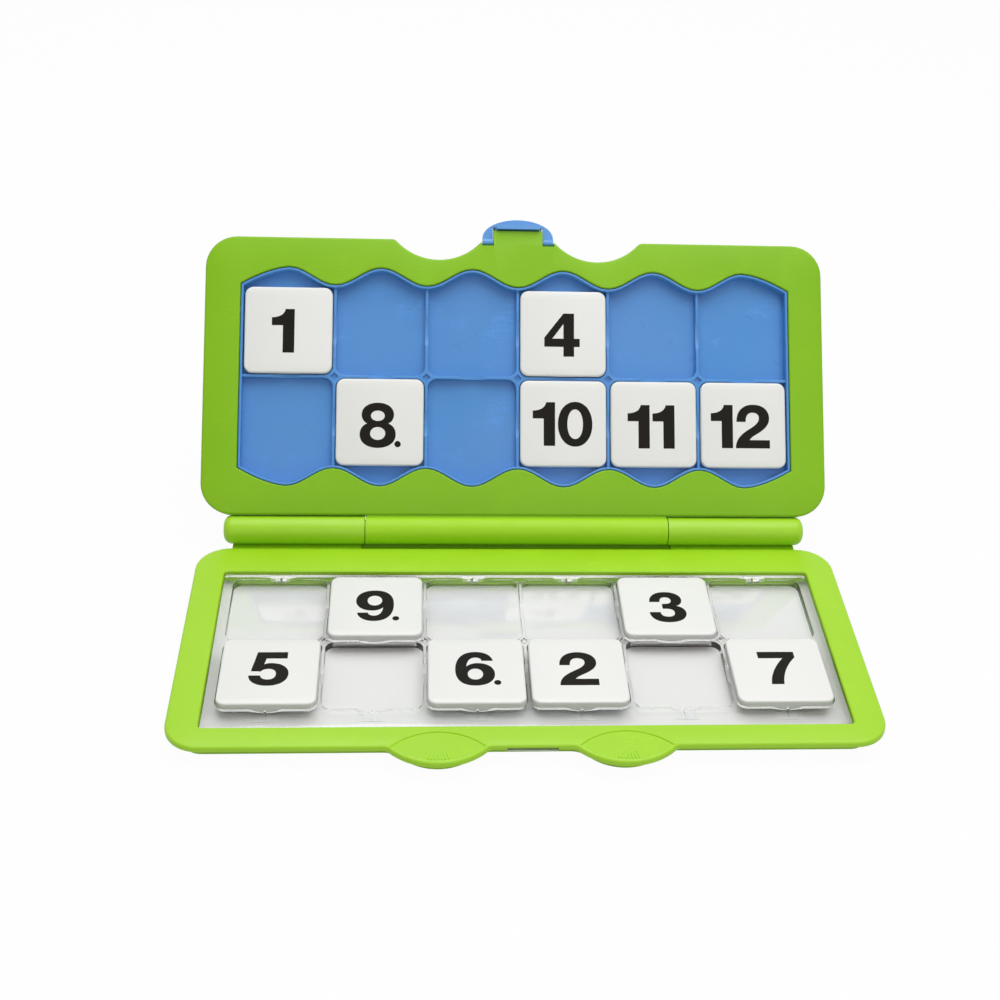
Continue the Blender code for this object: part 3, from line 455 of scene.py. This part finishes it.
def make_moulded_edges():
    """Joins a moulding's facets into one skin and keeps only its real edges sharp."""
    group = bpy.data.node_groups.new("moulded_edges", "GeometryNodeTree")
    group.interface.new_socket("Mesh", in_out="INPUT", socket_type="NodeSocketGeometry")
    group.interface.new_socket("Mesh", in_out="OUTPUT", socket_type="NodeSocketGeometry")
    given = group.nodes.new("NodeGroupInput")
    out = group.nodes.new("NodeGroupOutput")
    weld = group.nodes.new("GeometryNodeMergeByDistance")
    weld.inputs["Distance"].default_value = WELD
    angle = group.nodes.new("GeometryNodeInputMeshEdgeAngle")
    sharp = group.nodes.new("FunctionNodeCompare")
    sharp.operation = "GREATER_THAN"
    sharp.inputs["B"].default_value = SHARP_EDGE
    normal = group.nodes.new("GeometryNodeSetMeshNormal")
    normal.mode = "SHARPNESS"
    normal.inputs["Remove Custom"].default_value = True
    normal.inputs["Face Sharpness"].default_value = False
    links = group.links
    links.new(given.outputs[0], weld.inputs["Geometry"])
    links.new(weld.outputs[0], normal.inputs["Mesh"])
    links.new(angle.outputs["Unsigned Angle"], sharp.inputs["A"])
    links.new(sharp.outputs[0], normal.inputs["Edge Sharpness"])
    links.new(normal.outputs[0], out.inputs[0])
    return group


def dress(node_name, material):
    node = frame["nodes"][node_name]
    node.material_slots[0].material = material
    modifier = node.modifiers.new("moulded_edges", "NODES")
    modifier.node_group = moulded_edges


def tile_frame(number, underside):
    """The middle of a tile's top or underside, with Z out of it and Y up the number."""
    name = f"tile_{number:02d}"
    lift = next(joint for joint in frame["joints"] if joint["child"] == name)
    out = Vector(lift["axis"]).normalized()
    right = Vector((1.0, 0.0, 0.0))
    up = out.cross(right)
    if underside:
        out = -out
        right = -right
    points = [vert.co for vert in frame["nodes"][name].data.vertices]
    middle = Vector((0.0, 0.0, 0.0))
    for axis in (right, up):
        reach = [point.dot(axis) for point in points]
        middle += axis * (min(reach) + max(reach)) / 2
    middle += out * max(point.dot(out) for point in points)
    turned = Matrix((right, up, out)).transposed().to_4x4()
    return Matrix.Translation(middle) @ turned


def new_piece(name, mesh, place, body, material):
    piece = bpy.data.objects.new(name, mesh)
    bpy.context.scene.collection.objects.link(piece)
    piece.matrix_world = place
    mesh.materials.clear()
    mesh.materials.append(material)
    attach(piece, body)


# Numerals: each contour starts at a point, then runs by straight lines (x, y) or by curves (two
# handles and an end). The height of a numeral is 1.

def round_contour(x, y, half_width, half_height, fullness=0.57):
    a, b = half_width * fullness, half_height * fullness
    top, bottom, left, right = y + half_height, y - half_height, x - half_width, x + half_width
    return [
        (x, top),
        (x + a, top, right, y + b, right, y),
        (right, y - b, x + a, bottom, x, bottom),
        (x - a, bottom, left, y - b, left, y),
        (left, y + b, x - a, top, x, top),
    ]


def half_turned(contours, width):
    """A numeral upside down: nine from six."""
    def turned(step):
        return tuple((1.0 if i % 2 else width) - part for i, part in enumerate(step))

    return [[turned(step) for step in contour] for contour in contours]


ZERO = [
    round_contour(0.395, 0.5, 0.395, 0.515, 0.585),
    round_contour(0.395, 0.5, 0.178, 0.340, 0.60),
]
ONE = [[
    (0.25, 0.0), (0.51, 0.0), (0.51, 1.0), (0.305, 1.0), (0.285, 0.87, 0.165, 0.81, 0.0, 0.805),
    (0.0, 0.625), (0.25, 0.625),
]]
TWO = [[
    (0.0, 0.0), (0.005, 0.18, 0.09, 0.29, 0.26, 0.405), (0.43, 0.515, 0.545, 0.58, 0.545, 0.70),
    (0.545, 0.78, 0.485, 0.825, 0.395, 0.825), (0.285, 0.825, 0.235, 0.745, 0.235, 0.61), (0.02, 0.61),
    (0.02, 0.86, 0.17, 1.012, 0.405, 1.012), (0.635, 1.012, 0.785, 0.885, 0.785, 0.70),
    (0.785, 0.545, 0.68, 0.445, 0.52, 0.345), (0.42, 0.285, 0.355, 0.245, 0.325, 0.19), (0.795, 0.19),
    (0.795, 0.0),
]]
THREE = [[
    (0.03, 0.67), (0.04, 0.885, 0.175, 1.012, 0.39, 1.012), (0.605, 1.012, 0.74, 0.905, 0.74, 0.74),
    (0.74, 0.64, 0.685, 0.565, 0.60, 0.535), (0.725, 0.505, 0.795, 0.41, 0.795, 0.29),
    (0.795, 0.11, 0.625, -0.015, 0.39, -0.015), (0.155, -0.015, 0.0, 0.11, 0.0, 0.325), (0.235, 0.325),
    (0.24, 0.225, 0.30, 0.17, 0.39, 0.17), (0.485, 0.17, 0.545, 0.22, 0.545, 0.305),
    (0.545, 0.40, 0.475, 0.44, 0.36, 0.44), (0.295, 0.44), (0.295, 0.605), (0.36, 0.605),
    (0.455, 0.605, 0.505, 0.645, 0.505, 0.72), (0.505, 0.79, 0.455, 0.83, 0.38, 0.83),
    (0.30, 0.83, 0.26, 0.775, 0.255, 0.67),
]]
FOUR = [
    [
        (0.44, 0.0), (0.685, 0.0), (0.685, 0.225), (0.815, 0.225), (0.815, 0.415), (0.685, 0.415),
        (0.685, 1.0), (0.44, 1.0), (0.0, 0.435), (0.0, 0.225), (0.44, 0.225),
    ],
    [(0.44, 0.415), (0.44, 0.755), (0.185, 0.415)],
]
FIVE = [[
    (0.745, 1.0), (0.745, 0.805), (0.325, 0.805), (0.29, 0.625), (0.325, 0.65, 0.375, 0.665, 0.435, 0.665),
    (0.645, 0.665, 0.795, 0.535, 0.795, 0.335), (0.795, 0.125, 0.63, -0.015, 0.39, -0.015),
    (0.165, -0.015, 0.01, 0.105, 0.0, 0.29), (0.235, 0.29), (0.245, 0.215, 0.305, 0.17, 0.39, 0.17),
    (0.485, 0.17, 0.545, 0.235, 0.545, 0.33), (0.545, 0.43, 0.485, 0.49, 0.39, 0.49),
    (0.315, 0.49, 0.27, 0.46, 0.24, 0.41), (0.04, 0.42), (0.135, 1.0),
]]
SIX = [
    [
        (0.775, 0.735), (0.75, 0.905, 0.61, 1.012, 0.415, 1.012), (0.13, 1.012, 0.0, 0.785, 0.0, 0.465),
        (0.0, 0.145, 0.14, -0.015, 0.405, -0.015), (0.645, -0.015, 0.805, 0.12, 0.805, 0.335),
        (0.805, 0.535, 0.66, 0.665, 0.46, 0.665), (0.355, 0.665, 0.27, 0.62, 0.228, 0.555),
        (0.238, 0.735, 0.305, 0.835, 0.42, 0.835), (0.49, 0.835, 0.535, 0.80, 0.545, 0.735),
    ],
    round_contour(0.408, 0.33, 0.155, 0.165),
]
SEVEN = [[
    (0.0, 1.0), (0.0, 0.80), (0.515, 0.80), (0.31, 0.56, 0.175, 0.28, 0.15, 0.0), (0.41, 0.0),
    (0.435, 0.30, 0.57, 0.60, 0.775, 0.825), (0.775, 1.0),
]]
EIGHT = [
    [
        (0.405, 1.012), (0.625, 1.012, 0.768, 0.90, 0.768, 0.745), (0.768, 0.645, 0.72, 0.575, 0.645, 0.54),
        (0.755, 0.495, 0.81, 0.405, 0.81, 0.285), (0.81, 0.105, 0.645, -0.015, 0.405, -0.015),
        (0.165, -0.015, 0.0, 0.105, 0.0, 0.285), (0.0, 0.405, 0.055, 0.495, 0.165, 0.54),
        (0.09, 0.575, 0.042, 0.645, 0.042, 0.745), (0.042, 0.90, 0.185, 1.012, 0.405, 1.012),
    ],
    round_contour(0.405, 0.715, 0.155, 0.118),
    round_contour(0.405, 0.312, 0.170, 0.146),
]
NUMERALS = {
    "0": (ZERO, 0.79), "1": (ONE, 0.51), "2": (TWO, 0.795), "3": (THREE, 0.795), "4": (FOUR, 0.815),
    "5": (FIVE, 0.795), "6": (SIX, 0.805), "7": (SEVEN, 0.775), "8": (EIGHT, 0.81),
    "9": (half_turned(SIX, 0.805), 0.805),
}


def moved_right(step, distance):
    return tuple(part + (0.0 if i % 2 else distance) for i, part in enumerate(step))


def number_contours(number):
    """The contours of a whole number with its dot, and how wide it is."""
    contours = []
    start = 0.0
    for digit in str(number):
        outline, width = NUMERALS[digit]
        contours += [[moved_right(step, start) for step in contour] for contour in outline]
        start += width + DIGIT_GAP
    width = start - DIGIT_GAP
    if number in DOTTED:
        height = DOT_RISE - NUMERAL_DIP
        dot = round_contour(width + DOT_GAP, height, DOT_RADIUS, DOT_RADIUS, CIRCLE_FULLNESS)
        contours.append(dot)
        width += DOT_GAP + DOT_RADIUS
    return contours, width


def add_contour(curve, contour, shift):
    """One closed outline of a printed number as a curve with free handles."""
    steps = contour[1:]
    closed = len(steps[-1]) == 6 and steps[-1][4:] == contour[0]
    places = [contour[0]] + [step[-2:] for step in (steps[:-1] if closed else steps)]
    leaving = [step[:2] if len(step) == 6 else None for step in steps]
    arriving = [step[2:4] if len(step) == 6 else None for step in steps]
    if closed:
        arriving = [arriving[-1]] + arriving[:-1]
    else:
        arriving = [None] + arriving
        leaving = leaving + [None]
    spline = curve.splines.new("BEZIER")
    spline.bezier_points.add(len(places) - 1)
    spline.use_cyclic_u = True

    def at(point):
        x, y = point[0] + shift[0], point[1] + shift[1]
        return Vector((x * NUMBER_HEIGHT, y * NUMBER_HEIGHT, 0.0))

    for i, point in enumerate(spline.bezier_points):
        point.handle_left_type = point.handle_right_type = "FREE"
        here = at(places[i])
        before = at(places[i - 1])
        after = at(places[(i + 1) % len(places)])
        point.co = here
        point.handle_left = at(arriving[i]) if arriving[i] else here.lerp(before, 1 / 3)
        point.handle_right = at(leaving[i]) if leaving[i] else here.lerp(after, 1 / 3)


def number_mesh(number):
    contours, width = number_contours(number)
    curve = bpy.data.curves.new("outline", "CURVE")
    curve.dimensions = "2D"
    curve.fill_mode = "BOTH"
    curve.resolution_u = NUMERAL_STEPS
    curve.extrude = (INK_THICK + INK_SINK) / 2
    for contour in contours:
        add_contour(curve, contour, (-width / 2, -0.5))
    holder = bpy.data.objects.new("outline", curve)
    bpy.context.scene.collection.objects.link(holder)
    evaluated = holder.evaluated_get(bpy.context.evaluated_depsgraph_get())
    mesh = bpy.data.meshes.new_from_object(evaluated)
    bpy.data.objects.remove(holder, do_unlink=True)
    bpy.data.curves.remove(curve)
    bm = bmesh.new()
    bm.from_mesh(mesh)
    bmesh.ops.remove_doubles(bm, verts=bm.verts, dist=WELD)
    bmesh.ops.recalc_face_normals(bm, faces=bm.faces)
    bm.to_mesh(mesh)
    bm.free()
    return mesh


def print_number(number, ink):
    right, up = PRINT_SHIFT[number]
    lift = (INK_THICK - INK_SINK) / 2
    place = tile_frame(number, False) @ Matrix.Translation((right * MM, up * MM, lift))
    name = f"tile_{number:02d}"
    new_piece(f"number_{number:02d}", number_mesh(number), place, name, ink)


def band_mesh(low, high, corners):
    """A flat printed band between two heights, with two corners rounded where it ends the field."""
    bm = bmesh.new()
    half, radius, steps = BAND_HALF, BAND_CORNER, BAND_CORNER_STEPS
    outline = []
    for x_sign, y, rounded, start in (
        (1, low, corners == "low", -math.pi / 2), (1, high, corners == "high", 0.0),
        (-1, high, corners == "high", math.pi / 2), (-1, low, corners == "low", math.pi),
    ):
        if not rounded:
            outline.append((x_sign * half, y))
            continue
        centre_y = y + radius if corners == "low" else y - radius
        for i in range(steps + 1):
            angle = start + math.pi / 2 * i / steps
            x = x_sign * (half - radius) + radius * math.cos(angle)
            outline.append((x, centre_y + radius * math.sin(angle)))
    base = [bm.verts.new((x, y, 0.0)) for x, y in outline]
    face = bm.faces.new(base)
    top = bmesh.ops.extrude_face_region(bm, geom=[face])["geom"]
    for item in top:
        if isinstance(item, bmesh.types.BMVert):
            item.co.z += BAND_THICK
    bmesh.ops.recalc_face_normals(bm, faces=bm.faces)
    mesh = bpy.data.meshes.new("band")
    bm.to_mesh(mesh)
    bm.free()
    return mesh


def print_bands(number, inks):
    """The plain coloured field and stripe on a tile's underside."""
    place = tile_frame(number, True)
    field, stripe = BANDS[number]
    low, high = BAND_STRIPE
    name = f"tile_{number:02d}"
    parts = (
        ("field_low", band_mesh(-BAND_HALF, low, "low"), field),
        ("stripe", band_mesh(low, high, "none"), stripe),
        ("field_high", band_mesh(high, BAND_HALF, "high"), field),
    )
    for label, mesh, colour in parts:
        new_piece(f"underside_{label}_{number:02d}", mesh, place, name, inks[colour])


# The scene

def make_floor():
    mesh = bpy.data.meshes.new("table")
    signs = ((-1, -1), (1, -1), (1, 1), (-1, 1))
    corners = [(x * FLOOR_HALF, y * FLOOR_HALF, 0.0) for x, y in signs]
    mesh.from_pydata(corners, [], [(0, 1, 2, 3)])
    floor = bpy.data.objects.new("table", mesh)
    bpy.context.scene.collection.objects.link(floor)
    mesh.materials.append(make_floor_white())


def make_world():
    world = bpy.data.worlds.new("studio")
    world.use_nodes = True
    tree = world.node_tree
    tree.nodes.clear()
    room = put(tree, "Background", Color=rgba(ROOM_COLOUR), Strength=ROOM_LIGHT)
    white = put(tree, "Background", Color=rgba(BACKDROP_WHITE), Strength=1.0)
    mixed = put(tree, "MixShader")
    out = put(tree, "OutputWorld")
    tree.links.new(seen_by_eye(tree, put(tree, "LightPath")), mixed.inputs[0])
    tree.links.new(room.outputs[0], mixed.inputs[1])
    tree.links.new(white.outputs[0], mixed.inputs[2])
    tree.links.new(mixed.outputs[0], out.inputs["Surface"])
    bpy.context.scene.world = world


def make_lamp(name, place, size, watts):
    light = bpy.data.lights.new(name, "AREA")
    light.shape = "RECTANGLE"
    light.size, light.size_y = size
    light.energy = watts
    lamp = bpy.data.objects.new(name, light)
    bpy.context.scene.collection.objects.link(lamp)
    lamp.location = place
    lamp.visible_transmission = False
    toward = Vector(OBJECT_MIDDLE) - Vector(place)
    lamp.rotation_euler = toward.to_track_quat("-Z", "Y").to_euler()


def make_camera():
    data = bpy.data.cameras.new("camera")
    data.lens = CAMERA_LENS
    data.sensor_width = SENSOR_WIDTH
    data.shift_x, data.shift_y = CAMERA_SHIFT
    camera = bpy.data.objects.new("camera", data)
    bpy.context.scene.collection.objects.link(camera)
    pan = Matrix.Rotation(CAMERA_AZIMUTH, 4, "Z")
    tilt = Matrix.Rotation(math.pi / 2 - CAMERA_ELEVATION, 4, "X")
    roll = Matrix.Rotation(CAMERA_ROLL, 4, "Z")
    camera.matrix_world = Matrix.Translation(CAMERA_PLACE) @ (pan @ tilt) @ roll
    bpy.context.scene.camera = camera


bpy.context.scene.view_settings.view_transform = "Standard"
make_camera()
make_world()
make_floor()
make_lamp("top_softbox", TOP_LAMP_PLACE, TOP_LAMP_SIZE, TOP_LAMP_WATTS)
make_lamp("front_softbox", FRONT_LAMP_PLACE, FRONT_LAMP_SIZE, FRONT_LAMP_WATTS)

moulded_edges = make_moulded_edges()
moulded_skin = make_moulded_skin()
hairlines = make_hairlines()
dust_specks = make_dust()
polished_and_highlit_edges = make_polished_edges()

base_green = moulded_plastic(
    "base_green_satin", BASE_GREEN, gloss=(0.34, 0.46), grain_depth=0.02 * MM
)[0]
lid_shaded_green = make_lid_green()
# The lid's back takes the lid's darker green, the same painted shade.
back_green = moulded_plastic(
    "back_painted_shade_green", LID_SHADED_GREEN, gloss=(0.40, 0.52), grain_depth=0.02 * MM, shine=0.3
)[0]
tray_blue = moulded_plastic(
    "lid_tray_blue", TRAY_BLUE, gloss=(0.27, 0.34), grain_depth=0.012 * MM, shine=0.35, scratches=0.8
)[0]
latch_blue = moulded_plastic(
    "latch_blue_satin", LATCH_BLUE, gloss=(0.28, 0.40), grain_depth=0.015 * MM
)[0]
tile_white = moulded_plastic(
    "tile_white_satin", TILE_WHITE, gloss=(0.32, 0.40), grain_depth=0.010 * MM, scratches=0.1
)[0]
clear_plastic = make_clear_plastic()
pin_steel = make_steel()
black_ink = make_ink("number_ink_black", BLACK_INK, NUMBER_INK_GLOSS)
band_inks = {
    name: make_ink(f"band_ink_{name}", colour, BAND_INK_GLOSS)
    for name, colour in BAND_COLOURS.items()
}

dress("base_frame", base_green)
dress("base_tray", clear_plastic)
dress("hinge_pin_left", pin_steel)
dress("hinge_pin_right", pin_steel)
dress("lid_frame", lid_shaded_green)
dress("lid_back", back_green)
dress("lid_tray", tray_blue)
dress("latch", latch_blue)
for number in range(1, TILE_COUNT + 1):
    dress(f"tile_{number:02d}", tile_white)
    print_number(number, black_ink)
    print_bands(number, band_inks)

bpy.context.view_layer.update()
